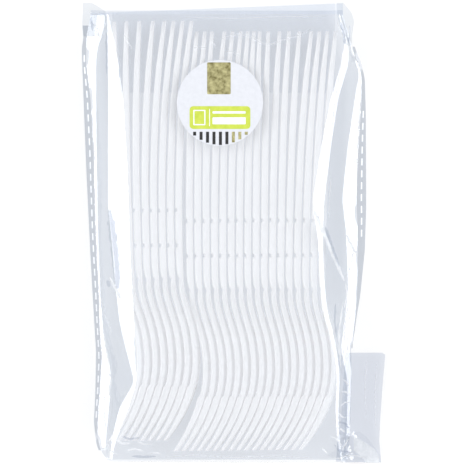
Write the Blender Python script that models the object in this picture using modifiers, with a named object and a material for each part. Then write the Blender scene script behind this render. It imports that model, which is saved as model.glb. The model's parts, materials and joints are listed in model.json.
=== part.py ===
"""A clear film bag of 25 stacked plastic forks with a round label, lying on its back.

Run with: blender --background --python part.py
Units are metres and +Z is up. X runs across the stack, +Y points to the handle ends, and the
pack lies on the plane z = 0 with its origin under the middle of its bounding box.
"""

import math

import bmesh
import bpy

MM = 0.001

# The pack
PACK_LENGTH = 198.8 * MM
PACK_WIDTH = 130.8 * MM

# One fork, measured along its own y axis from the deepest point of the bowl's back
FORK_COUNT = 25
HANDLE_END = 142.0 * MM
SLOT_ROOT = -14.6 * MM
TINE_TIP = -38.0 * MM
BOWL_HALF_WIDTH = 12.0 * MM
TIP_HALF_WIDTH = 10.4 * MM
NECK = 34.0 * MM
NECK_HALF_WIDTH = 4.5 * MM
HANDLE_HALF_WIDTH = 7.5 * MM
WALL = 1.3 * MM
BOWL_EDGE = 2.0 * MM
TINE_EDGE = 2.8 * MM
TIP_EDGE = 1.2 * MM
HANDLE_RIM = 3.0 * MM
HANDLE_END_RIM = 1.2 * MM
BOWL_DISH = 1.5 * MM
BOWL_DROP = 7.2 * MM
HANDLE_LIFT = 2.3 * MM
SLOT_WIDTH_AT_ROOT = 2.8 * MM
SLOT_WIDTH_AT_TIP = 4.4 * MM
SLOT_SPACING = 6.4 * MM

# The stack
FORK_PITCH = 3.433 * MM
FAN_ANGLE = 0.0025
STACK_TILT = 0.0343
LAST_FORK_X = 45.0 * MM
BOWL_Y = -55.7 * MM
STACK_MIDDLE_Z = 13.45 * MM
RAISED_FORKS = 8
RAISED_BY = 4.6 * MM
RAISED_GAP = 1.0 * MM

# The bag
FILM = 0.3 * MM
SEAM = 0.6 * MM
SEAM_HEIGHT = 8.0 * MM
CORNER_HEIGHT = 1.0 * MM
FLAP_LENGTH = 30.0 * MM
FLAP_GAP = 0.35 * MM

# The label
LABEL_RADIUS = 18.4 * MM
LABEL_THICKNESS = 0.3 * MM
LABEL_X = -6.0 * MM
LABEL_Y = 55.2 * MM
LABEL_GAP = 0.34 * MM


def plastic(name, colour, roughness, alpha=1.0):
    """A Principled plastic material."""
    material = bpy.data.materials.new(name)
    material.use_nodes = True
    shader = material.node_tree.nodes["Principled BSDF"]
    shader.inputs["Base Color"].default_value = (*colour, 1.0)
    shader.inputs["Roughness"].default_value = roughness
    shader.inputs["Metallic"].default_value = 0.0
    shader.inputs["Alpha"].default_value = alpha
    return material


def collection(name):
    made = bpy.data.collections.new(name)
    bpy.context.scene.collection.children.link(made)
    return made


def mesh_object(name, vertices, faces, home):
    mesh = bpy.data.meshes.new(name)
    mesh.from_pydata(vertices, [], faces)
    mesh.validate()
    made = bpy.data.objects.new(name, mesh)
    home.objects.link(made)
    return made


def between(a, b, share):
    return a + (b - a) * share


def smooth(share):
    share = min(1.0, max(0.0, share))
    return share * share * (3.0 - 2.0 * share)


def read_off(stations, at):
    """The value at a place along stations, a list of (place, value) with rising places."""
    if at <= stations[0][0]:
        return stations[0][1]
    for (place, value), (next_place, next_value) in zip(stations, stations[1:]):
        if at <= next_place:
            return between(value, next_value, (at - place) / (next_place - place))
    return stations[-1][1]


# ---------------------------------------------------------------- forks


def back_line(y):
    """The x of a fork's back, seen from the side: a deep bowl, a straight neck, a lifted handle."""
    deepest = -3.0 * MM
    curve = 11.7 if y < deepest else 9.6
    bowl = -curve * (y - deepest) ** 2
    if y < deepest:
        return bowl
    lift_starts = 60.0 * MM
    handle = -BOWL_DROP + HANDLE_LIFT * (max(0.0, y - lift_starts) / (HANDLE_END - lift_starts)) ** 2
    softness = 2.5 * MM * smooth((y - deepest) / (15.0 * MM))
    return (bowl + handle + math.hypot(bowl - handle, softness)) / 2


def half_width(y):
    end_round = HANDLE_END - HANDLE_HALF_WIDTH
    shoulder = 8.0 * MM
    if y < SLOT_ROOT:
        share = (SLOT_ROOT - y) / (SLOT_ROOT - TINE_TIP)
        return between(BOWL_HALF_WIDTH, TIP_HALF_WIDTH, share**2)
    if y < shoulder:
        return BOWL_HALF_WIDTH
    if y < NECK:
        return between(BOWL_HALF_WIDTH, NECK_HALF_WIDTH, smooth((y - shoulder) / (NECK - shoulder)))
    if y < end_round:
        return between(NECK_HALF_WIDTH, HANDLE_HALF_WIDTH, (y - NECK) / (end_round - NECK))
    reach = min(0.99, (y - end_round) / HANDLE_HALF_WIDTH)
    return HANDLE_HALF_WIDTH * math.sqrt(1.0 - reach**2)


def edge_depth(y):
    """The thickness of a fork along its edge: rimmed handle, thinner bowl, sturdy tines."""
    return read_off(
        [
            (TINE_TIP, TIP_EDGE),
            (SLOT_ROOT - 3.0 * MM, TINE_EDGE),
            (SLOT_ROOT + 3.0 * MM, BOWL_EDGE),
            (NECK - 3.0 * MM, BOWL_EDGE),
            (NECK + 2.0 * MM, HANDLE_RIM),
            (HANDLE_END - 24.0 * MM, HANDLE_RIM),
            (HANDLE_END, HANDLE_END_RIM),
        ],
        y,
    )


def dish(y):
    """How far the middle of the bowl bulges past its edges."""
    return BOWL_DISH * smooth((NECK - y) / (NECK - 12.0 * MM)) * between(0.6, 1.0, smooth((y - TINE_TIP) / -TINE_TIP))


def fork_section(y):
    """Twelve corners of a fork's cross-section at y: the channelled front first, then the back."""
    wide = half_width(y)
    edge = edge_depth(y)
    wall = min(edge, max(WALL, edge - HANDLE_RIM + WALL))
    if y < NECK:
        wall = edge
    back = back_line(y)
    rim = 0.86
    channel = 0.79
    flat = 0.42
    front = [(-1.0, edge), (-rim, edge), (-channel, wall), (-flat, wall)]
    front += [(-q, depth) for q, depth in reversed(front)]
    rear = [1.0, flat, -flat, -1.0]
    ring = [(back - dish(y) * q * q - depth, y, q * wide) for q, depth in front]
    return ring + [(back - dish(y) * q * q, y, q * wide) for q in rear]


FORK_STATIONS = [
    place * MM
    for place in (-38, -35, -25, -17.6, -11.6, -3, 5, 12, 18, 24, 31, 36, 60, 118, 134.5, 139.5, 142)
]


def fork_blank(home):
    """The fork before its slots are cut, as a loft through its sections."""
    rings = [fork_section(y) for y in FORK_STATIONS]
    count = len(rings[0])
    vertices = [point for ring in rings for point in ring]
    faces = [list(range(count)), [len(vertices) - 1 - i for i in range(count)]]
    for row in range(len(rings) - 1):
        for i in range(count):
            j = (i + 1) % count
            faces.append([row * count + j, row * count + i, (row + 1) * count + i, (row + 1) * count + j])
    blank = mesh_object("fork_blank", vertices, faces, home)
    outward(blank)
    return blank


def outward(made):
    """Turns all of a closed mesh's faces outwards."""
    mesh = bmesh.new()
    mesh.from_mesh(made.data)
    bmesh.ops.recalc_face_normals(mesh, faces=mesh.faces)
    if mesh.calc_volume(signed=True) < 0:
        bmesh.ops.reverse_faces(mesh, faces=mesh.faces)
    mesh.to_mesh(made.data)
    mesh.free()


def slot_cutter(name, z, home):
    """A tapered slot with a round root, wider at the tips."""
    reach = 20.0 * MM
    root = SLOT_WIDTH_AT_ROOT / 2
    corners = [(TINE_TIP - 5.0 * MM, SLOT_WIDTH_AT_TIP / 2), (SLOT_ROOT - root, root)]
    corners += [(SLOT_ROOT - root * 0.3, root * 0.71)]
    outline = corners + [(SLOT_ROOT, 0.0)] + [(y, -half) for y, half in reversed(corners)]
    vertices = [(x, y, z + half) for x in (-reach * 1.5, reach) for y, half in outline]
    count = len(outline)
    faces = [list(range(count)), [2 * count - 1 - i for i in range(count)]]
    faces += [[i, (i + 1) % count, count + (i + 1) % count, count + i] for i in range(count)]
    cutter = mesh_object(name, vertices, faces, home)
    outward(cutter)
    cutter.hide_render = True
    cutter.display_type = "WIRE"
    return cutter


def combine(made, other, operation):
    modifier = made.modifiers.new(other.name, "BOOLEAN")
    modifier.operation = operation
    modifier.object = other


def settled_mesh(made, name):
    """The object's mesh with its modifiers applied."""
    bpy.context.view_layer.update()
    graph = bpy.context.evaluated_depsgraph_get()
    mesh = bpy.data.meshes.new_from_object(made.evaluated_get(graph))
    mesh.name = name
    return mesh


def build_forks(home, cutters):
    blank = fork_blank(cutters)
    blank.hide_render = True
    for number, step in enumerate((-1, 0, 1), start=1):
        combine(blank, slot_cutter(f"slot_{number}", step * SLOT_SPACING, cutters), "DIFFERENCE")
    mesh = settled_mesh(blank, "fork")
    mesh.materials.clear()
    mesh.materials.append(plastic("fork_plastic", (0.93, 0.94, 0.95), 0.25))
    for number in range(FORK_COUNT):
        fork = bpy.data.objects.new(f"fork_{number + 1:02d}", mesh)
        raised = number < RAISED_FORKS
        fork.location = (
            LAST_FORK_X - (FORK_COUNT - 1 - number) * FORK_PITCH - raised * RAISED_GAP,
            BOWL_Y + raised * RAISED_BY,
            STACK_MIDDLE_Z,
        )
        fork.rotation_euler = (-STACK_TILT, 0.0, -(number - (FORK_COUNT - 1) / 2) * FAN_ANGLE)
        home.objects.link(fork)


# ---------------------------------------------------------------- bag

# Stations up the bag: y, then the x of the left seam, left shoulder, right shoulder and right seam,
# then the height of the front film and of the seams.
BAG_STATIONS = [
    (-94.0, -57.6, -56.4, 45.6, 48.0, 27.2, 3.0),
    (-84.0, -58.2, -56.2, 46.2, 49.4, 27.3, 4.0),
    (-70.0, -57.2, -52.0, 46.8, 49.8, 27.3, 5.0),
    (-52.0, -56.6, -49.0, 46.9, 50.0, 27.2, 5.0),
    (-30.0, -57.4, -54.0, 45.4, 50.4, 26.2, 7.0),
    (-8.0, -58.4, -56.4, 42.6, 51.6, 24.4, 8.0),
    (11.0, -59.0, -56.5, 40.2, 52.0, 22.9, 8.0),
    (45.0, -60.0, -56.8, 43.6, 52.0, 20.5, 8.0),
    (72.0, -60.8, -57.0, 45.2, 50.4, 18.5, 8.0),
    (88.0, -60.4, -56.2, 45.0, 48.4, 17.4, 8.0),
]
FRONT_COLUMNS = (0.0, 0.0, 0.2, 0.4, 0.6, 0.8, 1.0, 1.0)


def station_points(station):
    """The front and back films of the bag at one station, each from the left seam to the right."""
    y, left, left_shoulder, right_shoulder, right, height, seam = (value * MM for value in station)
    drop = 1.4 * MM
    inset = 1.6 * MM
    front = [(left, y, seam), (left_shoulder, y, height - drop)]
    top_from = left_shoulder + inset
    top_to = right_shoulder - inset
    front += [(between(top_from, top_to, share), y, height) for share in FRONT_COLUMNS[1:-1]]
    front += [(right_shoulder, y, height - drop), (right, y, seam)]
    flap_lift = (FILM + FLAP_GAP) * smooth((y - 50.0 * MM) / (10.0 * MM))
    foot_left = left + 3.0 * MM
    foot_right = right - 3.0 * MM
    back = [(left, y, seam), (left + 0.8 * MM, y, 1.2 * MM + flap_lift)]
    back += [(between(foot_left, foot_right, share), y, flap_lift) for share in FRONT_COLUMNS[1:-1]]
    back += [(right - 0.8 * MM, y, 1.2 * MM + flap_lift), (right, y, seam)]
    return front, back


def top_edge(x):
    """The y of the fold across the top of the bag, which runs up to the right."""
    left_y = 95.3 * MM
    right_y = 99.2 * MM
    return between(left_y, right_y, (x + 54.0 * MM) / (99.0 * MM))


def shifted(points, y_of, z_of):
    """The row of points carried to new y and z, with its two seam points kept nearer the middle height."""
    return [(x, y_of(x), z_of(x)) for x, _, _ in points]


def bag_rows():
    """The film as one sheet: rows from the mouth down the back, round the bottom, up the front, over the
    top and down the flap. Each row has the same number of points, from the left seam to the right."""
    fronts, backs = zip(*(station_points(station) for station in BAG_STATIONS))
    bottom = fronts[0]
    corner = [(bottom[0][0] + 3.2 * MM, bottom[-1][0] - 2.0 * MM), (-97.2 * MM, 1.4 * MM)]

    def bottom_row(y, z):
        (left, right), (corner_y, corner_z) = corner
        row = [(left, corner_y, corner_z)]
        row += [(x, y, z) for x, _, _ in bottom[1:-1]]
        return row + [(right, corner_y, corner_z)]

    heights = (1.0, 8.0, 18.0, 25.2)
    ends = (-98.6, -98.9, -98.6, -97.2)
    bottom_rows = [bottom_row(y * MM, z * MM) for y, z in zip(ends, heights)]
    top = fronts[-1]
    top_fold = [(x, 92.9 * MM, 16.4 * MM) for x, _, _ in top]
    top_fold[0] = (top[0][0] + 2.0 * MM, 92.5 * MM, SEAM_HEIGHT)
    top_fold[-1] = (top[-1][0] - 1.2 * MM, 92.9 * MM, SEAM_HEIGHT)
    return fronts, backs, bottom_rows, top_fold


class Sheet:
    """Vertices and faces of the film while it is being laid out."""

    def __init__(self):
        self.vertices = []
        self.faces = []

    def row(self, points, left=None, right=None):
        """Adds a row of points. left and right are vertices it shares with another row's ends."""
        indices = []
        for place, point in enumerate(points):
            shared = left if place == 0 else right if place == len(points) - 1 else None
            if shared is None:
                shared = len(self.vertices)
                self.vertices.append(point)
            indices.append(shared)
        return indices

    def join(self, lower, upper):
        """Fills between two rows, leaving out what two shared ends would make a line."""
        for i in range(len(lower) - 1):
            corners = [lower[i], lower[i + 1], upper[i + 1], upper[i]]
            loop = list(dict.fromkeys(corners))
            if len(loop) > 2:
                self.faces.append(loop)


def build_bag_body(home):
    """The film pillow: front and back meet at the seams, and the mouth is under the flap."""
    fronts, backs, bottom_rows, top_fold = bag_rows()
    sheet = Sheet()
    lowest = sheet.row(bottom_rows[0])
    row = lowest
    for points in bottom_rows[1:]:
        upper = sheet.row(points, lowest[0], lowest[-1])
        sheet.join(row, upper)
        row = upper
    back_row = lowest
    for front, back in zip(fronts, backs):
        upper = sheet.row(front)
        sheet.join(row, upper)
        upper_back = sheet.row(back, upper[0], upper[-1])
        sheet.join(upper_back, back_row)
        row, back_row = upper, upper_back
    fold = sheet.row(top_fold)
    sheet.join(row, fold)
    mouth = [(x, 92.5 * MM, FILM + FLAP_GAP) for x, _, _ in backs[-1]]
    mouth[1] = (mouth[1][0] + 2.0 * MM, 91.5 * MM, FILM + FLAP_GAP + 1.2 * MM)
    mouth[-2] = (mouth[-2][0] - 1.2 * MM, 91.5 * MM, FILM + FLAP_GAP + 1.2 * MM)
    sheet.join(sheet.row(mouth, fold[0], fold[-1]), back_row)
    inner = top_fold[1:-1]
    end = [(x, top_edge(x), 1.0 * MM) for x, _, _ in inner]
    flap_top = [(x, top_edge(x) - 1.2 * MM, 0.0) for x, _, _ in inner]
    flap_end = [(x * 0.97, 90.0 * MM - FLAP_LENGTH, 0.0) for x, _, _ in inner]
    row = fold
    for points in (end,):
        upper = sheet.row([points[0], *points, points[-1]], fold[0], fold[-1])
        sheet.join(row, upper)
        row = upper
    row = row[1:-1]
    for points in (flap_top, flap_end):
        upper = sheet.row(points)
        sheet.join(row, upper)
        row = upper
    body = mesh_object("bag", sheet.vertices, sheet.faces, home)
    thick = body.modifiers.new("film", "SOLIDIFY")
    thick.thickness = FILM
    thick.offset = -1.0
    thick.use_even_offset = True
    thick.use_quality_normals = True
    return body


def plate(name, stations, home):
    """A flat strip of two welded films: stations are (y, inner x, outer x, height) in millimetres."""
    half = SEAM / 2
    vertices = []
    for y, inner, outer, height in stations:
        for x in (inner, outer):
            vertices += [(x * MM, y * MM, height * MM - half), (x * MM, y * MM, height * MM + half)]
    faces = [[0, 2, 3, 1], [len(vertices) - k for k in (4, 3, 1, 2)]]
    for row in range(0, len(vertices) - 4, 4):
        for a, b in ((0, 1), (1, 3), (3, 2), (2, 0)):
            faces.append([row + a, row + b, row + b + 4, row + a + 4])
    made = mesh_object(name, vertices, faces, home)
    outward(made)
    made.hide_render = True
    made.display_type = "WIRE"
    return made


# The welded strips beside the seams, with the crumpled ears at the top of the bag and the spare
# corner at its bottom right. Each is y, the inner and outer x, and the height, in millimetres.
LEFT_SEAM = [
    (-95.0, -56.2, -57.8, 2.6),
    (-91.6, -56.6, -59.0, 3.3),
    (-82.0, -56.8, -60.1, 4.1),
    (-70.0, -56.2, -59.4, 5.0),
    (-52.0, -55.6, -59.0, 5.0),
    (-30.0, -56.4, -60.2, 7.0),
    (-8.0, -57.4, -61.3, 8.0),
    (23.0, -58.2, -63.1, 8.0),
    (45.0, -59.0, -63.7, 8.0),
    (72.0, -59.8, -65.1, 8.0),
    (79.0, -59.6, -65.3, 8.0),
    (84.0, -59.4, -64.4, 8.0),
    (89.4, -57.6, -65.4, 8.0),
    (94.6, -56.0, -65.2, 8.0),
    (98.7, -61.0, -65.0, 8.0),
]
RIGHT_SEAM = [
    (-50.0, 48.8, 50.9, 5.0),
    (-36.0, 49.0, 52.8, 6.5),
    (-27.4, 49.4, 54.5, 7.1),
    (-8.0, 50.4, 56.4, 8.0),
    (11.0, 50.8, 57.2, 8.0),
    (52.0, 50.6, 56.9, 8.0),
    (66.9, 49.6, 56.4, 8.0),
    (73.0, 49.2, 54.7, 8.0),
    (82.2, 48.0, 49.8, 8.0),
    (85.0, 47.6, 50.6, 8.0),
    (90.4, 46.4, 51.7, 8.0),
    (93.7, 44.8, 50.9, 8.0),
    (99.4, 45.2, 46.4, 8.0),
]
SPARE_CORNER = [
    (-99.4, 42.0, 63.5, 1.6),
    (-90.7, 44.0, 62.7, 1.6),
    (-82.6, 46.0, 63.0, 1.6),
    (-66.1, 47.0, 64.1, 1.6),
    (-52.4, 47.4, 65.4, 1.6),
    (-51.4, 47.4, 60.7, 1.6),
]


def build_bag(home, cutters):
    bag = build_bag_body(home)
    for name, stations in (
        ("left_seam", LEFT_SEAM),
        ("right_seam", RIGHT_SEAM),
        ("spare_corner", SPARE_CORNER),
    ):
        combine(bag, plate(name, stations, cutters), "UNION")
    bag.data.materials.append(plastic("clear_film", (0.86, 0.9, 0.95), 0.05, 0.25))
    return bag


# ---------------------------------------------------------------- label


def build_label(home):
    """A round paper label on the front film, which slopes down towards the handle ends."""
    bpy.ops.mesh.primitive_cylinder_add(vertices=40, radius=LABEL_RADIUS, depth=LABEL_THICKNESS)
    label = bpy.context.object
    for owner in list(label.users_collection):
        owner.objects.unlink(label)
    home.objects.link(label)
    label.name = "round_label"
    heights = [(station[0] * MM, station[5] * MM) for station in BAG_STATIONS]
    low = read_off(heights, LABEL_Y - LABEL_RADIUS)
    high = read_off(heights, LABEL_Y + LABEL_RADIUS)
    slope = math.atan2(high - low, 2 * LABEL_RADIUS)
    label.rotation_euler = (slope, 0.0, 0.0)
    label.location = (LABEL_X, LABEL_Y, (low + high) / 2 + LABEL_THICKNESS / 2 + LABEL_GAP)
    label.data.materials.append(plastic("label_paper", (0.9, 0.91, 0.93), 0.6))


def main():
    for old in list(bpy.data.objects):
        bpy.data.objects.remove(old)
    pack = collection("fork_pack")
    cutters = collection("cutters")
    build_forks(pack, cutters)
    build_bag(pack, cutters)
    build_label(pack)


main()
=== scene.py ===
"""Looks of a clear film bag of stacked plastic forks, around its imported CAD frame."""

import json
import math

import bmesh
import bpy
import numpy as np
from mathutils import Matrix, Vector
from mathutils.bvhtree import BVHTree

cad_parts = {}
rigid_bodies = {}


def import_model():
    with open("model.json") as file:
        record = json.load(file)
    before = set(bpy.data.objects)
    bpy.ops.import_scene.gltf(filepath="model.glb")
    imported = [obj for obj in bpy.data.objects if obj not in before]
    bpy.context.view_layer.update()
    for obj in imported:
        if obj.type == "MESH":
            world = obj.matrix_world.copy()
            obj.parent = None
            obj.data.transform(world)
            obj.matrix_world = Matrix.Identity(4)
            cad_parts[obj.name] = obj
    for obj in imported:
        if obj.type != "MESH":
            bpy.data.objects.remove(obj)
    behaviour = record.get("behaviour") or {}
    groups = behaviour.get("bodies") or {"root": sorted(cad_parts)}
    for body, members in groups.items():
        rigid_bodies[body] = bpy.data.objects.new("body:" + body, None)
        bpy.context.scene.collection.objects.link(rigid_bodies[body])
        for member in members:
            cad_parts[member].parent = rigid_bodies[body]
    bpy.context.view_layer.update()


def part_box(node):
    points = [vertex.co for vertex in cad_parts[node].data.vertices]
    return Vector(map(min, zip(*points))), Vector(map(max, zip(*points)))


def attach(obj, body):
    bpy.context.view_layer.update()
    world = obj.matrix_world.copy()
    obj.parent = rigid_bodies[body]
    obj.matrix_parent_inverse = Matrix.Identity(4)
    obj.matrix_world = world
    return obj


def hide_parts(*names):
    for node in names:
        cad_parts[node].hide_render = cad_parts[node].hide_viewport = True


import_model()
MM = 0.001
RNG = np.random.default_rng(7)

# ---------------------------------------------------------------- small helpers


def smooth(t):
    t = np.clip(t, 0.0, 1.0)
    return t * t * (3.0 - 2.0 * t)


def along(table, at):
    """Reads a table of (place, value) at some places, easing with straight pieces."""
    places, values = zip(*table)
    return np.interp(at, places, values)


def soft_along(table, at, reach):
    """The same, with its corners softened over a reach."""
    steps = (-1.0, -0.5, 0.0, 0.5, 1.0)
    return sum(along(table, np.asarray(at) + reach * step) for step in steps) / len(steps)


def mesh_piece(name, points, faces, material, sharp=None):
    """A piece from points in millimetres."""
    mesh = bpy.data.meshes.new(name)
    mesh.from_pydata([tuple(p) for p in np.asarray(points) * MM], [], faces)
    mesh.validate()
    mesh.shade_smooth()
    if sharp is not None:
        mesh.set_sharp_from_angle(angle=math.radians(sharp))
    piece = bpy.data.objects.new(name, mesh)
    bpy.context.scene.collection.objects.link(piece)
    piece.data.materials.append(material)
    return piece


def grid_faces(rows, columns, wrap=False):
    faces = []
    last = columns if wrap else columns - 1
    for r in range(rows - 1):
        for c in range(last):
            d = (c + 1) % columns
            faces.append((r * columns + c, r * columns + d, (r + 1) * columns + d, (r + 1) * columns + c))
    return faces


def turn_outward(piece):
    mesh = bmesh.new()
    mesh.from_mesh(piece.data)
    bmesh.ops.recalc_face_normals(mesh, faces=mesh.faces)
    if mesh.calc_volume(signed=True) < 0:
        bmesh.ops.reverse_faces(mesh, faces=mesh.faces)
    mesh.to_mesh(piece.data)
    mesh.free()


def folds(x, y, seed, count, wave, height):
    """Crumpled film: triangular waves in random directions make flat facets with sharp creases."""
    rng = np.random.default_rng(seed)
    total = np.zeros_like(np.asarray(x, float))
    for _ in range(count):
        turn = rng.uniform(0.0, math.pi)
        length = wave * rng.uniform(0.6, 1.6)
        phase = rng.uniform(0.0, 1.0)
        t = (x * math.cos(turn) + y * math.sin(turn)) / length + phase
        total += np.abs(t - np.floor(t) - 0.5) * rng.uniform(0.5, 1.0) * length
    return (total - total.mean()) * height / (wave * math.sqrt(count))


def swell(x, y, seed, count, wave, height):
    """Gentle waves in random directions."""
    rng = np.random.default_rng(seed)
    total = np.zeros_like(np.asarray(x, float))
    for _ in range(count):
        turn = rng.uniform(0.0, math.pi)
        length = wave * rng.uniform(0.6, 1.8)
        t = (x * math.cos(turn) + y * math.sin(turn)) / length + rng.uniform(0.0, 1.0)
        total += np.sin(t * 2 * math.pi)
    return total * height / math.sqrt(count)


# ---------------------------------------------------------------- materials


def material(name):
    made = bpy.data.materials.new(name)
    made.use_nodes = True
    made.node_tree.nodes.clear()
    return made, made.node_tree


def node(tree, kind, **values):
    made = tree.nodes.new(kind)
    for key, value in values.items():
        if hasattr(made, key):
            setattr(made, key, value)
        else:
            made.inputs[key.replace("_", " ")].default_value = value
    return made


def film_material(name, tint, gloss, ripple, ripple_scale):
    """Clear film: tinted see-through with a Fresnel gloss, and fine ripples."""
    made, tree = material(name)
    link = tree.links.new
    out = node(tree, "ShaderNodeOutputMaterial")
    place = node(tree, "ShaderNodeTexCoord")
    noise = node(tree, "ShaderNodeTexNoise", Scale=ripple_scale, Detail=3.0, Roughness=0.55)
    bump = node(tree, "ShaderNodeBump", Strength=ripple, Distance=0.0004)
    clear = node(tree, "ShaderNodeBsdfTransparent", Color=(*tint, 1.0))
    shine = node(tree, "ShaderNodeBsdfGlossy", Roughness=0.07, Color=(1, 1, 1, 1))
    facing = node(tree, "ShaderNodeLayerWeight", Blend=0.5)
    steep = node(tree, "ShaderNodeMath", operation="POWER")
    steep.inputs[1].default_value = 4.0
    boost = node(tree, "ShaderNodeMath", operation="MULTIPLY_ADD")
    boost.inputs[1].default_value = 0.45 * gloss
    boost.inputs[2].default_value = 0.04 * gloss
    boost.use_clamp = True
    mix = node(tree, "ShaderNodeMixShader")
    link(place.outputs["Object"], noise.inputs["Vector"])
    link(noise.outputs["Fac"], bump.inputs["Height"])
    link(bump.outputs["Normal"], shine.inputs["Normal"])
    link(bump.outputs["Normal"], facing.inputs["Normal"])
    link(facing.outputs["Facing"], steep.inputs[0])
    link(steep.outputs[0], boost.inputs[0])
    link(boost.outputs[0], mix.inputs[0])
    link(clear.outputs[0], mix.inputs[1])
    link(shine.outputs[0], mix.inputs[2])
    link(mix.outputs[0], out.inputs["Surface"])
    return made


def fork_material():
    """Milky, slightly see-through moulded plastic with faint flow marks, and a painted glow that stands in for light
    coming through it.
    """
    made, tree = material("fork_plastic")
    link = tree.links.new
    out = node(tree, "ShaderNodeOutputMaterial")
    place = node(tree, "ShaderNodeTexCoord")
    noise = node(tree, "ShaderNodeTexNoise", Scale=160.0, Detail=2.0)
    ramp = node(tree, "ShaderNodeValToRGB")
    ramp.color_ramp.elements[0].color = (*FORK_TONE, 1.0)
    ramp.color_ramp.elements[1].color = (*(t + 0.03 for t in FORK_TONE), 1.0)
    bump = node(tree, "ShaderNodeBump", Strength=0.12, Distance=0.0003)
    shader = node(tree, "ShaderNodeBsdfPrincipled", Roughness=0.22, IOR=1.49)
    # painted light: a faint emission makes the forks glow, standing in for light that shines through the milky plastic
    shader.inputs["Emission Color"].default_value = (1.0, 0.985, 0.985, 1.0)
    shader.inputs["Emission Strength"].default_value = FORK_PAINTED_GLOW
    shader.inputs["Specular IOR Level"].default_value = 0.5
    clear = node(tree, "ShaderNodeBsdfTransparent", Color=(0.985, 0.992, 1.0, 1.0))
    milk = node(tree, "ShaderNodeMixShader")
    milk.inputs[0].default_value = FORK_CLEARNESS
    link(place.outputs["Object"], noise.inputs["Vector"])
    link(noise.outputs["Fac"], ramp.inputs["Fac"])
    link(noise.outputs["Fac"], bump.inputs["Height"])
    link(ramp.outputs["Color"], shader.inputs["Base Color"])
    link(bump.outputs["Normal"], shader.inputs["Normal"])
    link(shader.outputs[0], milk.inputs[1])
    link(clear.outputs[0], milk.inputs[2])
    link(milk.outputs[0], out.inputs["Surface"])
    return made


def painted_highlight_material(name, strength):
    """Painted highlight along a crease: milky white mixed with see-through film in uneven flecks."""
    made, tree = material(name)
    link = tree.links.new
    out = node(tree, "ShaderNodeOutputMaterial")
    place = node(tree, "ShaderNodeTexCoord")
    noise = node(tree, "ShaderNodeTexNoise", Scale=260.0, Detail=3.0)
    ramp = node(tree, "ShaderNodeMapRange")
    ramp.inputs["From Min"].default_value = 0.3
    ramp.inputs["From Max"].default_value = 0.7
    ramp.inputs["To Min"].default_value = strength * 0.7
    ramp.inputs["To Max"].default_value = min(1.0, strength * 1.25)
    clear = node(tree, "ShaderNodeBsdfTransparent", Color=(0.98, 0.985, 0.99, 1.0))
    # the milky white stands in for light caught by the crease: a painted highlight
    milky = node(tree, "ShaderNodeBsdfPrincipled", Roughness=0.3)
    milky.inputs["Base Color"].default_value = (0.74, 0.755, 0.78, 1.0)
    mix = node(tree, "ShaderNodeMixShader")
    link(place.outputs["Object"], noise.inputs["Vector"])
    link(noise.outputs["Fac"], ramp.inputs["Value"])
    link(ramp.outputs["Result"], mix.inputs[0])
    link(clear.outputs[0], mix.inputs[1])
    link(milky.outputs[0], mix.inputs[2])
    link(mix.outputs[0], out.inputs["Surface"])
    return made


def print_material(name, dark, light, scale, roughness=0.45):
    """Printed ink or coated paper with a fine mottle."""
    made, tree = material(name)
    link = tree.links.new
    out = node(tree, "ShaderNodeOutputMaterial")
    place = node(tree, "ShaderNodeTexCoord")
    noise = node(tree, "ShaderNodeTexNoise", Scale=scale, Detail=4.0, Roughness=0.6)
    ramp = node(tree, "ShaderNodeValToRGB")
    ramp.color_ramp.elements[0].position = 0.35
    ramp.color_ramp.elements[0].color = (*dark, 1.0)
    ramp.color_ramp.elements[1].position = 0.65
    ramp.color_ramp.elements[1].color = (*light, 1.0)
    shader = node(tree, "ShaderNodeBsdfPrincipled", Roughness=roughness)
    link(place.outputs["Object"], noise.inputs["Vector"])
    link(noise.outputs["Fac"], ramp.inputs["Fac"])
    link(ramp.outputs["Color"], shader.inputs["Base Color"])
    link(shader.outputs[0], out.inputs["Surface"])
    return made


FORK_CLEARNESS = 0.32
FORK_TONE = (0.745, 0.745, 0.75)
# the forks' painted glow: emission strength standing in for light through the plastic
FORK_PAINTED_GLOW = 0.175
FILM = film_material("clear_film", (0.955, 0.962, 0.972), 2.0, 0.25, 90.0)
BACK_FILM = film_material("back_film", (0.86, 0.88, 0.915), 1.0, 0.25, 90.0)
FLAP_FILM = film_material("flap_film", (0.93, 0.94, 0.955), 1.0, 0.25, 90.0)
# a darker copy of the film for its sloping sides and ears: painted shade
PAINTED_SHADE_SIDE_FILM = film_material("painted_shade_side_film", (0.84, 0.86, 0.885), 1.5, 0.4, 120.0)
END_FILM = film_material("end_film", (0.86, 0.89, 0.94), 0.6, 0.3, 90.0)
SEAM_FILM = film_material("seam_film", (0.62, 0.65, 0.70), 1.4, 0.5, 300.0)
# the spare corner's film: its darker tint stands in for the doubled sheet and paints the shade under it
SHADED_SHEET_FILM = film_material("corner_sheet_film_with_painted_shade", (0.78, 0.805, 0.86), 1.4, 0.5, 200.0)
# darker strips of doubled film along folds, darkened further as painted shade
SHADE_FILM = film_material("double_film_with_painted_shade", (0.80, 0.82, 0.86), 1.0, 0.4, 200.0)
# painted highlights along creases, bright and faint
PAINTED_HIGHLIGHT_CREASE = painted_highlight_material("painted_highlight_crease", 0.85)
PAINTED_FAINT_HIGHLIGHT_CREASE = painted_highlight_material("painted_faint_highlight_crease", 0.34)
WELD = print_material("weld_marks", (0.86, 0.88, 0.92), (0.97, 0.98, 1.0), 900.0)
FORK = fork_material()
PAPER = print_material("label_paper", (0.67, 0.68, 0.72), (0.71, 0.72, 0.76), 500.0)

# ---------------------------------------------------------------- forks

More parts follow.
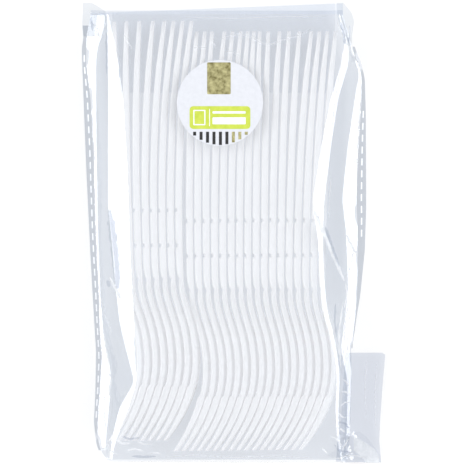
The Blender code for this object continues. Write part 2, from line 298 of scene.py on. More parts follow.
FORK_COUNT = 25
HANDLE_END = 142.0
SLOT_ROOT = -14.6
TINE_TIP = -38.0
BOWL_HALF = 12.0
TIP_HALF = 10.4
NECK = 34.0
NECK_HALF = 4.5
HANDLE_HALF = 7.5
WALL = 1.3
LIP = 1.0
NUBS = (45.4, 60.4)
RIM_STATIONS = [
    (TINE_TIP, 1.2),
    (TINE_TIP + 10.0, 2.3),
    (SLOT_ROOT - 1.2, 2.8),
    (SLOT_ROOT + 0.4, 2.05),
    (NECK - 5.0, 2.05),
    (NECK - 3.0, 1.7),
    (NECK - 2.0, 2.4),
    (NECK + 2.0, 2.9),
    (NUBS[0] - 1.1, 2.95),
    (NUBS[0] - 0.6, 2.2),
    (NUBS[0] + 0.6, 2.2),
    (NUBS[0] + 1.1, 2.95),
    (NUBS[1] - 1.1, 2.95),
    (NUBS[1] - 0.6, 2.3),
    (NUBS[1] + 0.6, 2.3),
    (NUBS[1] + 1.1, 2.95),
    (HANDLE_END - 40.0, 2.85),
    (HANDLE_END - 19.0, 2.4),
    (HANDLE_END - 8.0, 1.8),
    (HANDLE_END, 1.5),
]
# How wide the sloping shoulders of a rim are, on its front and its back.
FRONT_SHOULDER = [(TINE_TIP, 0.35), (SLOT_ROOT - 1.2, 0.6), (SLOT_ROOT + 0.4, 0.9), (20.0, 0.9), (NECK, 0.7), (HANDLE_END, 0.5)]
BACK_SHOULDER = [(TINE_TIP, 0.35), (SLOT_ROOT - 1.2, 0.6), (SLOT_ROOT + 0.4, 0.7), (20.0, 0.5), (NECK, 0.35), (HANDLE_END, 0.4)]
SHOULDER_DROP = math.tan(math.radians(30.0))
FORK_PITCH = 3.433
FAN_ANGLE = 0.0025
STACK_TILT = 0.0343
LAST_FORK_X = 45.0
BOWL_Y = -55.7
STACK_MIDDLE_Z = 13.45
RAISED_FORKS = 8
RAISED_BY = 4.6
RAISED_GAP = 1.0


def back_line(y):
    """The x of a fork's back, seen from the side."""
    bowl = np.where(y < -3.0, -0.0117, -0.0096) * (y + 3.0) ** 2
    lift = np.clip(y - 60.0, 0.0, None) / (HANDLE_END - 60.0)
    handle = -7.2 + 2.3 * lift**2
    soft = 2.5 * smooth((y + 3.0) / 15.0)
    blended = (bowl + handle + np.hypot(bowl - handle, soft)) / 2
    return np.where(y < -3.0, bowl, blended)


def half_width(y):
    round_from = HANDLE_END - HANDLE_HALF
    tines = BOWL_HALF + (TIP_HALF - BOWL_HALF) * np.clip((SLOT_ROOT - y) / (SLOT_ROOT - TINE_TIP), 0, 1) ** 2
    waist = tines + (NECK_HALF - BOWL_HALF) * smooth((y - 8.0) / (NECK - 8.0))
    handle = NECK_HALF + (HANDLE_HALF - NECK_HALF) * np.clip((y - NECK) / (round_from - NECK), 0, 1)
    reach = np.clip((y - round_from) / HANDLE_HALF, 0.0, 0.985)
    return np.where(y < NECK, waist, handle * np.sqrt(1.0 - reach**2))


def fork_ring(y):
    """One cross-section of a fork as points round its edge."""
    wide = float(half_width(y))
    edge = float(along(RIM_STATIONS, y))
    wall = WALL if y > NECK else edge + (WALL - edge) * float(smooth((y - NECK + 8.0) / 8.0))
    wall = min(wall, edge)
    if y > NECK:
        wall = min(edge, max(0.9, edge - 1.7))
    if y < SLOT_ROOT:
        wall = edge
    dish = 1.5 * float(smooth((NECK - y) / (NECK - 12.0))) * (0.6 + 0.4 * float(smooth((y - TINE_TIP) / 38.0)))
    back = float(back_line(y))
    back_slope = min(float(along(BACK_SHOULDER, y)), edge * 0.35)
    front_slope = min(float(along(FRONT_SHOULDER, y)), edge * 0.45)
    back_drop, front_drop = back_slope * SHOULDER_DROP, front_slope * SHOULDER_DROP
    lip = min(LIP, wide * 0.2)
    half = []
    for share in (0.0, 0.3, 0.6, 0.84):
        half.append((share * wide, 0.0))
    half += [(wide - back_drop - 0.12, 0.0), (wide - back_drop, 0.06)]
    half += [(wide - back_drop * 0.4, back_slope * 0.6), (wide, back_slope)]
    half.append((wide, (back_slope + edge - front_slope) * 0.5))
    half += [(wide, edge - front_slope), (wide - front_drop * 0.4, edge - front_slope * 0.6)]
    half += [(wide - front_drop, edge - 0.06), (wide - front_drop - 0.12, edge)]
    lip += front_drop
    half.append((wide - lip, edge))
    half.append((wide - lip - 0.25, wall + (edge - wall) * 0.3))
    half.append((wide - lip - 0.55, wall))
    for share in (0.6, 0.3):
        half.append((share * (wide - lip - 0.55), wall))
    half.append((0.0, wall))
    ring = [(z, depth) for z, depth in half] + [(-z, depth) for z, depth in half[-2:0:-1]]
    return [(back - dish * (z / wide) ** 2 - depth, y, z) for z, depth in ring]


def fork_stations():
    parts = [
        np.linspace(TINE_TIP, TINE_TIP + 1.0, 3),
        np.linspace(TINE_TIP + 2.5, SLOT_ROOT - 1.5, 12),
        np.linspace(SLOT_ROOT - 1.0, SLOT_ROOT + 1.0, 5),
        np.linspace(SLOT_ROOT + 2.5, NECK - 5.5, 26),
        NECK + np.array([-5.0, -4.0, -3.0, -2.0, 0.0, 2.0, 4.0, 7.0]),
        NUBS[0] + np.array([-1.4, -1.1, -0.6, 0.6, 1.1, 1.4]),
        [50.0, 55.0],
        NUBS[1] + np.array([-1.4, -1.1, -0.6, 0.6, 1.1, 1.4]),
        np.linspace(66.0, HANDLE_END - 9.0, 17),
        HANDLE_END - HANDLE_HALF * (1 - np.sin(np.linspace(0.0, 0.444, 9) * math.pi)),
    ]
    return np.concatenate(parts)


def fork_template():
    rings = [fork_ring(float(y)) for y in fork_stations()]
    count = len(rings[0])
    points = [p for ring in rings for p in ring]
    faces = grid_faces(len(rings), count, wrap=True)
    faces += [tuple(range(count)), tuple(len(points) - 1 - i for i in range(count))]
    blank = mesh_piece("fork_template", points, faces, FORK)
    turn_outward(blank)
    for number, z in enumerate((-6.4, 0.0, 6.4)):
        cut_slot(blank, number, z)
    bpy.context.view_layer.update()
    graph = bpy.context.evaluated_depsgraph_get()
    mesh = bpy.data.meshes.new_from_object(blank.evaluated_get(graph))
    for old in [o for o in bpy.data.objects if o.name.startswith(("fork_template", "slot_cutter"))]:
        bpy.data.objects.remove(old)
    return mesh


def cut_slot(blank, number, z):
    """A tapered slot between two tines with a round root."""
    root = 1.4
    outline = [(TINE_TIP - 5.0, 2.2), (SLOT_ROOT - root, root)]
    outline += [(SLOT_ROOT - root * (1 - math.sin(a)), root * math.cos(a)) for a in (0.4, 0.8, 1.2)]
    full = outline + [(SLOT_ROOT, 0.0)] + [(y, -h) for y, h in reversed(outline)]
    points = [(x, y, z + h) for x in (-30.0, 20.0) for y, h in full]
    n = len(full)
    faces = [tuple(range(n)), tuple(2 * n - 1 - i for i in range(n))]
    faces += [(i, (i + 1) % n, n + (i + 1) % n, n + i) for i in range(n)]
    cutter = mesh_piece(f"slot_cutter_{number}", points, faces, FORK)
    turn_outward(cutter)
    cutter.hide_render = True
    cut = blank.modifiers.new("slot", "BOOLEAN")
    cut.operation = "DIFFERENCE"
    cut.object = cutter


def build_forks():
    template = fork_template()
    base = np.zeros(len(template.vertices) * 3)
    template.vertices.foreach_get("co", base)
    base = base.reshape(-1, 3)
    for number in range(FORK_COUNT):
        mesh = template.copy()
        mesh.name = f"fork_mesh_{number + 1:02d}"
        points = base.copy()
        far = np.clip((points[:, 1] / MM - 50.0) / 84.0, 0.0, 1.2) ** 2
        points[:, 0] += HANDLE_SWAY[number] * MM * far
        mesh.vertices.foreach_set("co", points.ravel())
        mesh.materials.clear()
        mesh.materials.append(FORK)
        mesh.shade_smooth()
        mesh.set_sharp_from_angle(angle=math.radians(50))
        piece = bpy.data.objects.new(f"moulded_fork_{number + 1:02d}", mesh)
        bpy.context.scene.collection.objects.link(piece)
        raised = number < RAISED_FORKS
        x = LAST_FORK_X - (FORK_COUNT - 1 - number) * FORK_PITCH - raised * RAISED_GAP
        piece.location = (x * MM, (BOWL_Y + raised * RAISED_BY) * MM, STACK_MIDDLE_Z * MM)
        piece.rotation_euler = (-STACK_TILT, 0.0, -(number - (FORK_COUNT - 1) / 2) * FAN_ANGLE)
        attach(piece, "root")
        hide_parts(f"fork_{number + 1:02d}")


# How far each handle end leans out of the even fan, in mm.
HANDLE_SWAY = [-2.6, -1.4, 0.1, 1.8, 2.8, 2.9, 3.0, 3.0, 0.9, 0.6, 0.0, 1.3, 1.0, 0.8, 0.2, -0.8, -1.9, -2.0, -1.1, -0.9,
               -0.3, 0.8, 0.6, 0.3, 0.0]

# ---------------------------------------------------------------- film

# The creases of the front film, as tables of (y, x) up the bag.
EDGE_LEFT = [(-99, -53.5), (-95, -57.2), (-88, -58.8), (-75, -58.4), (-66, -57.6), (-55, -57.0), (-40, -57.8),
             (-25, -58.3), (0, -59.6), (35, -60.4), (57, -61.6), (72, -63.6), (84, -63.4), (94, -61.5)]
CREASE_B = [(-99, -53.0), (-95, -55.4), (-88, -55.0), (-75, -53.6), (-60, -53.0), (-42, -56.3), (-29, -57.3),
            (0, -58.4), (35, -59.0), (57, -59.2), (72, -59.2), (78, -58.8), (84, -56.8), (90, -55.4), (94, -55.6)]
CREASE_C = [(-99, -52.6), (-94, -52.8), (-88, -52.0), (-75, -49.0), (-64, -42.5), (-50, -46.2), (-38, -49.0),
            (-25, -50.5), (-3, -52.4), (11, -53.9), (35, -54.0), (57, -53.9), (72, -54.0), (88, -54.3), (94, -54.6)]
CREASE_D = [(-99, -52.0), (-94, -51.6), (-88, -50.0), (-75, -45.0), (-64, -41.5), (-50, -42.2), (-38, -42.6),
            (-25, -43.2), (-3, -44.3), (14, -44.8), (35, -46.0), (57, -47.4), (72, -49.4), (88, -52.6), (94, -54.0)]
CREASE_E = [(-99, 45.6), (-94, 45.0), (-84, 43.6), (-75, 43.2), (-68, 43.6), (-61, 43.8), (-55, 43.2), (-48, 41.9),
            (-42, 40.5), (-36, 38.6), (-29, 37.2), (-15, 36.4), (0, 35.4), (11, 33.6), (20, 34.6), (40, 38.0), (57, 41.4), (72, 45.8), (80, 47.2), (94, 44.6)]
CREASE_F = [(-99, 46.4), (-94, 46.0), (-84, 44.6), (-75, 44.6), (-68, 44.8), (-61, 45.0), (-55, 44.4), (-48, 43.2),
            (-42, 42.0), (-36, 40.4), (-29, 39.2), (-15, 38.2), (0, 38.0), (13, 38.6), (20, 39.3), (40, 42.0), (57, 44.6), (72, 49.0), (80, 49.0), (94, 45.2)]
CREASE_G = [(-99, 48.0), (-94, 48.0), (-84, 48.6), (-64, 48.8), (-50, 46.0), (-38, 47.6), (-24, 49.0),
            (0, 48.1), (14, 46.4), (35, 48.6), (57, 51.8), (68, 53.8), (76, 51.2), (94, 46.0)]
EDGE_RIGHT = [(-99, 48.6), (-94, 49.4), (-84, 50.0), (-64, 50.6), (-50, 50.4), (-38, 52.0), (-24, 53.0),
              (0, 53.2), (14, 52.6), (35, 53.4), (57, 54.8), (68, 54.9), (76, 51.8), (94, 46.6)]
TOP_HEIGHT = [(-99, 26.9), (-84, 27.0), (-70, 27.0), (-52, 26.9), (-30, 25.9), (-8, 24.1), (11, 22.6),
              (45, 20.2), (72, 18.2), (88, 17.1), (94, 16.6)]
SEAM_LEFT_Z = [(-99, 1.5), (-95, 2.6), (-82, 4.1), (-52, 5.0), (-30, 7.0), (-8, 8.0), (94, 8.0)]
SEAM_RIGHT_Z = [(-99, 1.8), (-84, 2.4), (-60, 4.0), (-36, 6.5), (-8, 8.0), (94, 8.0)]


def front_rows(ys):
    """The front film between its two seams, at each y."""
    a, b, c, d = (soft_along(t, ys, 2.0) for t in (EDGE_LEFT, CREASE_B, CREASE_C, CREASE_D))
    e, f, g, i = (soft_along(t, ys, 2.0) for t in (CREASE_E, CREASE_F, CREASE_G, EDGE_RIGHT))
    top = soft_along(TOP_HEIGHT, ys, 4.0)
    left_z = soft_along(SEAM_LEFT_Z, ys, 3.0)
    right_z = soft_along(SEAM_RIGHT_Z, ys, 3.0)
    c_z = top - (d - c) * math.tan(math.radians(25.0))
    b_z = left_z + (b - a) * math.tan(math.radians(27.0))
    b_z = np.minimum(b_z, c_z - 1.0)
    f_z = top - (f - e) * math.tan(math.radians(25.0))
    g_z = right_z + (i - g) * math.tan(math.radians(27.0))
    g_z = np.minimum(g_z, f_z - 0.5)
    creases = [(a, left_z, 5), (b, b_z, 8), (c, c_z, 12), (d, top, 104), (e, top, 8), (f, f_z, 12), (g, g_z, 10)]
    xs, zs = [], []
    for (x0, z0, n), (x1, z1, _) in zip(creases, creases[1:] + [(i, right_z, 0)]):
        for k in range(n):
            xs.append(x0 + (x1 - x0) * k / n)
            zs.append(z0 + (z1 - z0) * k / n)
    xs.append(i)
    zs.append(right_z)
    return np.array(xs).T, np.array(zs).T


def build_front():
    ys = np.concatenate([np.arange(-97.0, 93.0, 0.9), [93.2]])
    xs, zs = front_rows(ys)
    columns = xs.shape[1]
    yy = np.repeat(ys[:, None], columns, 1)
    side = np.minimum(np.arange(columns), columns - 1 - np.arange(columns))
    side = 1.0 - smooth((side - 10.0) / 25.0)[None, :]
    ends = smooth((yy - 70.0) / 22.0) * 0.5 + smooth((-82.0 - yy) / 14.0)
    rough = np.clip(0.12 + side * 0.6 + ends * 0.6, 0.0, 1.0)
    zs = zs + swell(xs, yy, 3, 7, 26.0, 0.16) * (0.5 + 0.5 * rough) + folds(xs, yy, 5, 5, 9.0, 0.5) * rough
    zs[:, 0] = soft_along(SEAM_LEFT_Z, ys, 3.0)
    zs[:, -1] = soft_along(SEAM_RIGHT_Z, ys, 3.0)
    points = np.stack([xs, yy, zs], -1)
    lower = []
    for drop, out in ((0.05, 1.0), (0.3, 1.7), (0.62, 2.0), (0.93, 1.7)):
        row = points[0].copy()
        row[:, 1] -= out * (0.7 + 0.3 * np.linspace(0, 1, columns))
        row[:, 2] = row[:, 2] * (1.0 - drop)
        lower.append(row)
    upper = []
    share = (xs[-1] - xs[-1][0]) / (xs[-1][-1] - xs[-1][0])
    edge = 94.4 + 4.3 * np.clip(share, 0.0, 1.0)
    for drop in (0.12, 0.35, 0.6, 0.85, 0.97):
        row = points[-1].copy()
        row[:, 1] = 93.2 + (edge - 93.2) * drop
        row[:, 2] = row[:, 2] * (1.0 - drop) + folds(row[:, 0], row[:, 1], 9, 4, 7.0, 0.25) * (drop < 0.9)
        upper.append(row)
    body = np.concatenate([np.array(lower)[::-1], points])
    end = np.concatenate([points[-1:], np.array(upper)])
    LAID_FILM.append(body)
    parts = [
        ("film_left_hem", 0, 5, FILM),
        # the sloping sides use the darker film: painted shade
        ("film_left_side", 5, 13, PAINTED_SHADE_SIDE_FILM),
        ("front_film", 13, 137, FILM),
        ("film_right_side", 137, 149, PAINTED_SHADE_SIDE_FILM),
        ("film_right_hem", 149, 159, FILM),
    ]
    for name, start, stop, made_of in parts:
        film_patch(name, body[:, start : stop + 1], made_of)
    film_patch("film_end_fold", end, END_FILM)


LAID_FILM = []


def film_patch(name, grid, made_of, sharp=25):
    """A piece of film from a grid of points, which stands for part of the bag."""
    patch = mesh_piece(name, grid.reshape(-1, 3), grid_faces(*grid.shape[:2]), made_of, sharp=sharp)
    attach(patch, "root")
    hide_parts("bag")
    return patch


# Painted highlights along creases, and darker strips of doubled film with painted shade: width in mm, then x, y along
# each.
PAINTED_HIGHLIGHT_CREASES = [
    (1.5, (33.7, 10.5), (38.7, -1.3), (43.4, -12.0), (47.6, -21.6)),
    (0.9, (48.1, -1.0), (50.2, -5.0), (53.1, -10.6)),
    (0.5, (43.7, 90.7), (48.6, 80.0), (55.3, 69.7)),
    (0.9, (46.9, -29.2), (44.9, -43.9), (45.6, -58.5)),
    (0.7, (47.8, -22.0), (48.6, -27.0), (47.2, -33.0)),
    (1.1, (-53.3, -18.9), (-50.9, -23.6), (-48.2, -28.8)),
    (0.55, (-56.3, -42.1), (-54.9, -51.0), (-53.1, -59.8)),
    (0.6, (-53.8, -60.2), (-52.6, -64.0), (-53.9, -68.5), (-53.0, -72.0)),
    (0.6, (40.8, -96.3), (46.0, -96.6), (52.5, -95.9), (57.0, -97.6), (61.1, -98.6)),
    (0.8, (37.4, -92.0), (39.8, -94.6)),
    (0.5, (46.5, -63.0), (48.0, -64.2), (49.6, -66.6)),
    (0.6, (45.9, -68.4), (48.0, -68.6), (50.4, -70.3)),
    (0.5, (45.6, -74.4), (47.6, -73.0), (50.0, -73.6)),
    (0.6, (44.6, -77.2), (46.4, -79.4), (48.6, -80.0)),
    (0.8, (43.0, -83.4), (45.2, -83.8), (47.9, -86.2)),
    (0.7, (41.2, -87.2), (43.6, -88.0), (46.2, -91.4)),
    (0.6, (46.0, -93.6), (48.0, -91.4), (49.8, -88.0)),
    (0.9, (-50.6, -88.6), (-47.4, -90.4), (-44.0, -90.0)),
    (0.8, (-46.0, -93.4), (-42.0, -92.4), (-38.4, -93.6)),
    (0.6, (-41.6, -88.9), (-38.6, -90.6), (-34.8, -90.4)),
    (0.5, (-36.4, -94.6), (-33.0, -94.0), (-30.8, -95.0)),
    (0.5, (-54.2, -90.0), (-52.4, -93.6), (-49.0, -95.4)),
]
PAINTED_FAINT_HIGHLIGHT_CREASES = [
    (0.6, (-6.0, 82.6), (-1.4, 83.9), (3.0, 84.8), (7.3, 83.7), (11.0, 81.0), (14.6, 79.8), (18.3, 81.0), (21.5, 82.6),
     (26.1, 83.5), (30.7, 85.6), (33.9, 87.4)),
    (0.5, (-3.9, 77.0), (-1.0, 77.4), (2.2, 75.5)),
    (0.5, (-17.6, 78.7), (-14.0, 79.1), (-11.6, 78.9)),
    (0.5, (-9.5, 82.6), (-8.4, 80.4), (-7.7, 78.7)),
    (0.5, (-47.0, 84.6), (-45.0, 81.0), (-43.4, 77.6)),
    (0.4, (41.5, 24.0), (40.9, 14.0), (40.3, 4.0)),
    (0.4, (49.0, -30.0), (47.4, -45.0), (46.9, -60.0)),
    (0.4, (50.0, -33.0), (49.0, -45.0), (48.6, -56.0)),
    (0.35, (-55.5, -70.0), (-55.8, -78.0), (-55.3, -85.0)),
    (0.4, (47.6, -20.0), (50.6, -14.0), (51.6, -6.0)),
    (0.4, (-56.6, -30.0), (-55.2, -36.0), (-52.0, -44.0)),
    (0.5, (-30.0, -96.0), (-16.0, -95.2), (0.0, -96.2), (18.0, -95.4), (34.0, -96.4)),
    (0.35, (-22.0, 92.0), (0.0, 91.4), (20.0, 92.2), (40.0, 92.4)),
    (0.3, (54.4, 60.0), (53.4, 40.0), (52.8, 24.0)),
    (0.3, (46.6, 76.0), (43.2, 56.0), (41.4, 40.0)),
    (0.4, (45.4, 88.0), (47.6, 84.6), (47.0, 78.0)),
    (0.4, (57.0, -54.5), (56.2, -66.0), (56.8, -80.0)),
    (0.35, (61.4, -56.0), (60.6, -70.0), (60.9, -84.0)),
    (0.35, (-62.0, 90.6), (-59.0, 88.0), (-57.6, 83.0)),
    (0.5, (-63.4, 95.0), (-60.0, 93.0), (-57.0, 94.6)),
]
# strips of doubled film, darker also by painted shade along the folds
SHADE_CREASES = [
    (0.7, (-54.6, 86.0), (-54.7, 76.0), (-54.6, 66.7)),
    (0.5, (-49.1, 76.0), (-49.0, 65.4)),
    (1.6, (-54.2, -20.6), (-53.6, -23.6)),
    (3.2, (-53.4, 10.0), (-51.6, -3.4), (-50.4, -15.0), (-49.6, -25.0)),
    (1.4, (38.8, 3.0), (41.8, -6.0), (45.6, -17.0)),
    (1.2, (45.6, 90.0), (47.2, 85.0), (47.4, 80.0)),
    (0.9, (49.6, 89.0), (49.9, 85.0), (48.9, 80.6)),
    (1.0, (-61.4, 92.6), (-60.8, 86.4)),
    (0.8, (43.6, -30.0), (43.0, -37.0), (43.9, -46.0)),
    (0.8, (-48.0, -87.0), (-44.6, -88.4), (-40.0, -87.6)),
    (0.9, (-44.0, -95.6), (-38.0, -95.9), (-33.0, -95.6)),
    (0.9, (44.6, -81.0), (47.4, -82.0), (49.6, -84.6)),
    (0.9, (42.6, -90.4), (46.0, -94.2), (50.2, -94.8)),
]


def build_creases():
    """Little roof-shaped ridges laid along the film's surface, which carry painted highlights and painted shade."""
    grid = np.concatenate([g.reshape(-1, 3) for g in LAID_FILM])
    faces, start = [], 0
    for g in LAID_FILM:
        faces += [tuple(start + i for i in face) for face in grid_faces(*g.shape[:2])]
        start += g.shape[0] * g.shape[1]
    tree = BVHTree.FromPolygons([Vector(p) for p in grid], faces)
    kinds = (("white_creases", PAINTED_HIGHLIGHT_CREASES, PAINTED_HIGHLIGHT_CREASE), ("faint_creases", PAINTED_FAINT_HIGHLIGHT_CREASES, PAINTED_FAINT_HIGHLIGHT_CREASE))
    for name, table, made_of in (*kinds, ("doubled_film", SHADE_CREASES, SHADE_FILM)):
        points, faces = [], []
        for width, *path in table:
            path = np.array(path)
            reach = np.concatenate([[0.0], np.cumsum(np.linalg.norm(np.diff(path, axis=0), axis=1))])
            at = np.linspace(0.0, reach[-1], max(5, int(reach[-1] / 0.9)))
            soft = min(2.5, reach[-1] / 8)
            xs = soft_along(list(zip(reach, path[:, 0])), at, soft)
            ys = soft_along(list(zip(reach, path[:, 1])), at, soft)
            xs = xs + RNG.uniform(-0.12, 0.12, len(at))
            across = np.stack([np.gradient(ys), -np.gradient(xs)], -1)
            across /= np.linalg.norm(across, axis=1)[:, None]
            taper = np.clip(np.sin(np.linspace(0.06, 0.94, len(at)) * math.pi), 0.0, 0.7) / 0.7
            half = width / 2 * taper * RNG.uniform(0.7, 1.25, len(at))
            start = len(points)
            for x, y, (ax, ay), h in zip(xs, ys, across, half):
                for side, rise in ((-1, 0.0), (0, 1.0), (1, 0.0)):
                    px, py = x + ax * h * side, y + ay * h * side
                    hit = tree.ray_cast(Vector((px, py, 60.0)), Vector((0, 0, -1)))[0]
                    z = hit.z if hit else loose_height(px, py)
                    points.append((px, py, z + 0.1 + rise * min(0.35, h * 0.45)))
            faces += [tuple(start + i for i in face) for face in grid_faces(len(at), 3)]
        laid = mesh_piece(name, points, faces, made_of, sharp=20)
        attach(laid, "root")


def loose_height(x, y):
    """How high a crease runs where it leaves the front film for a loose corner."""
    return 4.6 if y < 0 and x > 0 else 10.6


def build_back():
    ys = np.arange(-98.2, 96.0, 1.6)
    left = soft_along(EDGE_LEFT, ys, 2.0)
    right = soft_along(EDGE_RIGHT, ys, 2.0)
    share = np.linspace(0.0, 1.0, 64)[None, :]
    xs = left[:, None] + (right - left)[:, None] * share
    yy = np.repeat(ys[:, None], 64, 1)
    rise = np.clip(1.0 - np.minimum(share, 1 - share) * 22.0, 0.0, 1.0)
    seam = soft_along(SEAM_LEFT_Z, ys, 3.0)[:, None] * (share < 0.5) + soft_along(SEAM_RIGHT_Z, ys, 3.0)[:, None] * (share >= 0.5)
    zs = 0.75 + rise * (seam - 0.75) + swell(xs, yy, 13, 6, 22.0, 0.1)
    points = np.stack([xs, yy, np.maximum(zs, 0.5)], -1)
    film = mesh_piece("back_film", points.reshape(-1, 3), grid_faces(len(ys), 64), BACK_FILM, sharp=25)
    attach(film, "root")
    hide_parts("bag")
    ys = np.arange(60.0, 98.0, 1.2)
    share = np.linspace(0.0, 1.0, 60)[None, :]
    xs = -52.5 + 96.0 * share + 0 * ys[:, None]
    yy = np.repeat(ys[:, None], 60, 1)
    limit = 94.4 + 4.3 * share
    yy = 60.0 + (yy - 60.0) / (ys[-1] - 60.0) * (limit - 60.0)
    zs = 0.22 + np.abs(swell(xs, yy, 17, 6, 16.0, 0.08))
    flap = mesh_piece("folded_flap", np.stack([xs, yy, zs], -1).reshape(-1, 3), grid_faces(len(ys), 60), FLAP_FILM, sharp=25)
    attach(flap, "root")
    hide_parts("bag")


SEAM_OUT_LEFT = [(-95, -57.8), (-91.6, -59.2), (-82, -60.3), (-70, -59.7), (-52, -59.3), (-30, -60.6), (-8, -61.8),
                 (23, -63.3), (45, -64.2), (72, -65.2), (79, -65.4), (84, -64.6), (89, -65.2)]
SEAM_OUT_RIGHT = [(-50, 50.9), (-36, 52.8), (-27, 54.3), (-8, 56.2), (11, 56.8), (52, 56.6), (66, 56.2), (73, 54.6),
                  (80, 51.6)]


def seam_strip(name, inner, outer, height, y_from, y_to, dash_from, dash_to, dash_at):
    """A welded strip, with its row of short weld marks."""
    ys = np.arange(y_from, y_to, 0.9)
    x0, x1 = soft_along(inner, ys, 2.0), soft_along(outer, ys, 1.5)
    share = np.linspace(0.0, 1.0, 7)[None, :]
    xs = x0[:, None] + (x1 - x0)[:, None] * share
    yy = np.repeat(ys[:, None], 7, 1)
    zs = soft_along(height, ys, 3.0)[:, None] + swell(xs, yy, 21, 5, 20.0, 0.35) * share
    strip = mesh_piece(name, np.stack([xs, yy, zs], -1).reshape(-1, 3), grid_faces(len(ys), 7), SEAM_FILM, sharp=25)
    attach(strip, "root")
    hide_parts("bag")
    points, faces = [], []
    y = dash_from
    while y < dash_to:
        middle = float(np.interp(y, ys, x0 + (x1 - x0) * dash_at))
        ahead = float(np.interp(y + 3.0, ys, x0 + (x1 - x0) * dash_at))
        height_here = float(along(height, y)) + 0.75
        start = len(points)
        for px, py in ((middle - 0.28, y), (middle + 0.28, y), (ahead + 0.28, y + 3.0), (ahead - 0.28, y + 3.0)):
            points += [(px, py, height_here - 0.1), (px, py, height_here)]
        for face in ((1, 3, 5, 7), (0, 6, 4, 2), (0, 2, 3, 1), (2, 4, 5, 3), (4, 6, 7, 5), (6, 0, 1, 7)):
            faces.append(tuple(start + k for k in face))
        y += 5.1
    dashes = mesh_piece(f"{name}_welds", points, faces, WELD, sharp=30)
    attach(dashes, "root")


def crumpled_patch(name, outline, height, seed, wave, depth, material_of, step=0.8):
    """A loose corner of film. outline is a table of (y, x from, x to)."""
    ys = np.arange(outline[0][0], outline[-1][0], step)
    x0 = along([(y, a) for y, a, _ in outline], ys)
    x1 = along([(y, b) for y, _, b in outline], ys)
    columns = int(max(np.max(x1 - x0) / step, 8))
    share = np.linspace(0.0, 1.0, columns)[None, :]
    xs = x0[:, None] + (x1 - x0)[:, None] * share
    yy = np.repeat(ys[:, None], columns, 1)
    zs = height + folds(xs, yy, seed, 5, wave, depth) + swell(xs, yy, seed + 1, 4, wave * 3, depth * 0.4)
    points = np.stack([xs, yy, np.maximum(zs, 0.3)], -1)
    patch = mesh_piece(name, points.reshape(-1, 3), grid_faces(len(ys), columns), material_of, sharp=18)
    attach(patch, "root")
    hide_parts("bag")


def build_corners():
    spare = [(-99.2, 44.0, 63.4), (-90.0, 44.5, 62.6), (-82.6, 46.0, 62.9), (-66.0, 47.0, 64.0), (-52.4, 48.0, 65.2), (-51.2, 48.0, 60.5)]
    # the spare corner uses the darker sheet film: doubled film and painted shade
    crumpled_patch("spare_corner", spare, 1.6, 31, 14.0, 0.35, SHADED_SHEET_FILM)
    fold = [(-99.2, 46.0, 63.2), (-96.0, 40.0, 63.0), (-92.0, 47.0, 60.0), (-88.0, 50.0, 57.0), (-86.0, 51.5, 54.0)]
    crumpled_patch("corner_fold", fold, 3.4, 33, 4.5, 1.5, FILM, step=0.6)
    # a painted highlight on the crumpled corner
    bright = [(-99.3, 57.0, 62.2), (-97.0, 55.2, 62.3), (-94.0, 51.6, 61.2), (-91.5, 51.5, 57.8), (-89.5, 51.5, 54.6), (-87.9, 51.4, 51.9)]
    crumpled_patch("corner_crumple", bright, 5.2, 41, 3.4, 0.9, PAINTED_HIGHLIGHT_CREASE, step=0.5)
    # the ears use the darker side film: painted shade
    left = [(84.0, -64.8, -58.0), (90.0, -65.2, -56.0), (94.6, -64.9, -55.0), (97.0, -65.0, -58.5), (98.9, -64.8, -62.0)]
    crumpled_patch("left_ear", left, 9.5, 35, 6.0, 1.2, PAINTED_SHADE_SIDE_FILM, step=0.6)
    right = [(80.0, 48.4, 50.6), (85.0, 46.4, 50.8), (90.4, 45.0, 51.6), (94.0, 44.2, 50.6), (99.0, 44.0, 46.6)]
    crumpled_patch("right_ear", right, 9.5, 37, 6.0, 1.2, PAINTED_SHADE_SIDE_FILM, step=0.6)


# ---------------------------------------------------------------- label


def label_plane():
    low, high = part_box("round_label")
    middle = (low + high) / 2
    radius = (high.x - low.x) / 2
    slope = math.asin(min(1.0, (high.z - low.z - 0.0003) / (2 * radius)))
    return middle, radius, slope


def flat_print(name, outline, lift, thickness, material_of):
    """A thin printed or paper shape lying on the label's slope. The outline is in mm from its middle."""
    middle, _, slope = label_plane()
    n = len(outline)
    points = [(x, y, lift) for x, y in outline] + [(x, y, lift + thickness) for x, y in outline]
    faces = [tuple(reversed(range(n))), tuple(range(n, 2 * n))]
    faces += [(i, (i + 1) % n, n + (i + 1) % n, n + i) for i in range(n)]
    piece = mesh_piece(name, points, faces, material_of, sharp=30)
    piece.location = middle
    piece.rotation_euler = (-slope, 0.0, 0.0)
    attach(piece, "root")
    return piece


def rounded(x0, y0, x1, y1, r, steps=5):
    points = []
    for cx, cy, start in ((x1 - r, y1 - r, 0), (x0 + r, y1 - r, 90), (x0 + r, y0 + r, 180), (x1 - r, y0 + r, 270)):
        for k in range(steps + 1):
            a = math.radians(start + 90.0 * k / steps)
            points.append((cx + r * math.cos(a), cy + r * math.sin(a)))
    return points


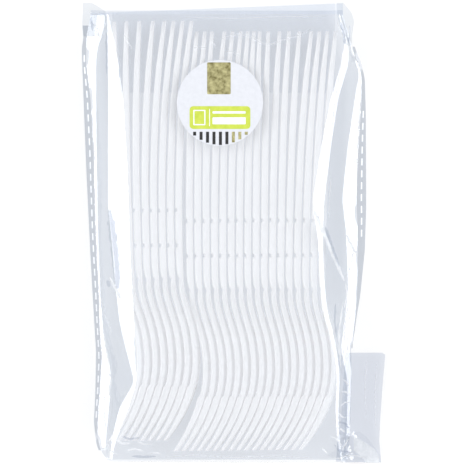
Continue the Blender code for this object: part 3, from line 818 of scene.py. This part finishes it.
def build_label():
    _, radius, _ = label_plane()
    r = radius / MM
    disc = [(r * math.cos(a), r * math.sin(a)) for a in np.linspace(0, 2 * math.pi, 97)[:-1]]
    paper = flat_print("label_disc", disc, -0.05, 0.15, PAPER)
    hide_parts("round_label")
    gold = print_material("gold_ink", (0.16, 0.14, 0.045), (0.52, 0.48, 0.24), 420.0, 0.35)
    green = print_material("green_ink", (0.50, 0.60, 0.055), (0.60, 0.68, 0.09), 300.0)
    black = print_material("dark_ink", (0.012, 0.012, 0.014), (0.03, 0.028, 0.026), 300.0)
    white = print_material("white_ink", (0.82, 0.84, 0.86), (0.90, 0.92, 0.94), 300.0)
    flat_print("gold_field", rounded(-5.5, 3.7, 4.6, 17.4, 0.5), 0.1, 0.03, gold)
    flat_print("green_field", rounded(-13.0, -11.2, 13.0, -1.4, 1.6), 0.1, 0.03, green)
    for number in range(12):
        x = -13.6 + number * 2.76
        top = -12.4
        low = -math.sqrt(max(0.0, (r - 0.3) ** 2 - (abs(x) + 0.6) ** 2))
        if low > top - 0.8:
            continue
        ink = black if number < 7 else gold
        flat_print(f"stripe_{number:02d}", [(x - 0.65, low), (x + 0.65, low), (x + 0.65, top), (x - 0.65, top)], 0.1, 0.03, ink)
    outer = rounded(-11.4, -9.6, -6.2, -3.0, 0.3)
    flat_print("badge_square", outer, 0.135, 0.02, white)
    flat_print("badge_square_inner", rounded(-10.9, -9.1, -6.7, -3.5, 0.25), 0.16, 0.02, green)
    flat_print("badge_rule", rounded(-4.6, -10.0, -4.3, -2.6, 0.1), 0.135, 0.02, white)
    flat_print("badge_bar_1", rounded(-3.2, -4.6, 11.0, -3.6, 0.3), 0.135, 0.02, white)
    flat_print("badge_bar_2", rounded(-3.2, -9.2, 11.0, -6.2, 0.3), 0.135, 0.02, white)


# ---------------------------------------------------------------- stage


def build_stage():
    made, tree = material("floor")
    out = node(tree, "ShaderNodeOutputMaterial")
    shader = node(tree, "ShaderNodeBsdfPrincipled", Roughness=0.9)
    shader.inputs["Base Color"].default_value = (0.35, 0.35, 0.35, 1.0)
    shader.inputs["Specular IOR Level"].default_value = 0.0
    shader.inputs["Emission Color"].default_value = (1, 1, 1, 1)
    shader.inputs["Emission Strength"].default_value = 0.65
    tree.links.new(shader.outputs[0], out.inputs["Surface"])
    floor = mesh_piece("floor", [(-4000, -4000, -0.3), (4000, -4000, -0.3), (4000, 4000, -0.3), (-4000, 4000, -0.3)], [(0, 1, 2, 3)], made)
    world = bpy.data.worlds.new("studio")
    bpy.context.scene.world = world
    world.use_nodes = True
    back = world.node_tree.nodes["Background"]
    back.inputs["Color"].default_value = (0.93, 0.96, 1.0, 1.0)
    back.inputs["Strength"].default_value = 0.6


def softbox(name, angle_from_zenith, towards, distance, size, power):
    turn = math.radians(towards)
    lean = math.radians(angle_from_zenith)
    away = Vector((math.sin(lean) * math.cos(turn), math.sin(lean) * math.sin(turn), math.cos(lean)))
    light = bpy.data.lights.new(name, "AREA")
    light.shape = "RECTANGLE"
    light.size, light.size_y = size
    light.energy = power
    lamp = bpy.data.objects.new(name, light)
    lamp.location = away * distance
    lamp.rotation_euler = away.to_track_quat("Z", "Y").to_euler()
    lamp.visible_camera = False
    bpy.context.scene.collection.objects.link(lamp)


def build_camera():
    camera = bpy.data.cameras.new("camera")
    camera.lens = 450.0
    camera.sensor_width = 36.0
    camera.clip_start, camera.clip_end = 0.1, 20.0
    holder = bpy.data.objects.new("camera", camera)
    holder.location = (-0.86 * MM, 0.0, 2.5)
    bpy.context.scene.collection.objects.link(holder)
    bpy.context.scene.camera = holder


def main():
    build_camera()
    build_forks()
    build_front()
    build_back()
    seam_strip("left_seam", EDGE_LEFT, SEAM_OUT_LEFT, SEAM_LEFT_Z, -94.0, 89.0, -80.0, 76.0, 0.45)
    seam_strip("right_seam", EDGE_RIGHT, SEAM_OUT_RIGHT, SEAM_RIGHT_Z, -50.0, 80.0, -2.0, 52.0, 0.5)
    build_corners()
    build_creases()
    build_label()
    build_stage()
    softbox("left_box", 50.0, 180.0, 1.4, (1.7, 0.6), 14.0)
    softbox("right_box", 50.0, 0.0, 1.4, (1.7, 0.6), 14.0)
    scene = bpy.context.scene
    scene.view_settings.view_transform = "Standard"
    scene.cycles.transparent_max_bounces = 40
    scene.cycles.max_bounces = 20
    scene.cycles.diffuse_bounces = 14


main()
